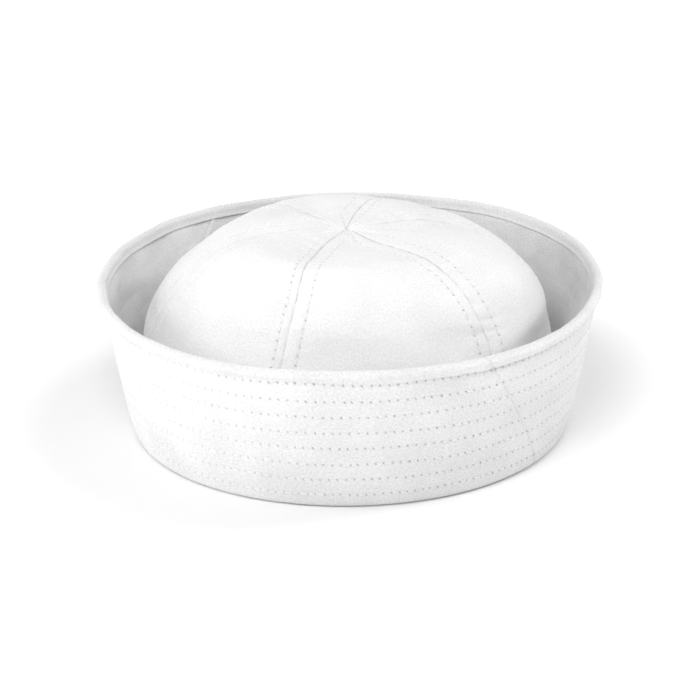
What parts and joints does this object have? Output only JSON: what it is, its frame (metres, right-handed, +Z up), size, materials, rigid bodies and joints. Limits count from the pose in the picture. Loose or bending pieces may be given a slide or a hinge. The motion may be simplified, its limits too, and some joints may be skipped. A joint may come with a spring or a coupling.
{
  "type": "sailor cap",
  "caption": "White cotton sailor cap: a shallow puffed crown of sewn gores inside a tall stitched cuff that flares from foot to rim.",
  "frame": {"origin": "on the surface the cap rests on, under the middle of its head opening, which is the middle of the bounding box's bottom", "axes": "+Z up out of the crown, +X towards the wearer's left, -Y towards the front, where the two front crown seams straddle the middle"},
  "size_m": [0.2326, 0.2327, 0.0951],
  "materials": {
    "crown_cloth": "white cotton twill, matt, with a fine diagonal weave",
    "cuff_cloth": "white cotton twill in stitched layers, matt",
    "facing_cloth": "white cotton twill, the inner ply of the cuff, matt"
  },
  "bodies": {
    "root": {"crown_panel_1": "crown_cloth", "crown_panel_2": "crown_cloth", "crown_panel_3": "crown_cloth", "crown_panel_4": "crown_cloth", "crown_panel_5": "crown_cloth", "crown_panel_6": "crown_cloth", "cuff_outer_back": "cuff_cloth", "cuff_outer_front": "cuff_cloth", "cuff_facing_back": "facing_cloth", "cuff_facing_front": "facing_cloth"}
  },
  "joints": []
}
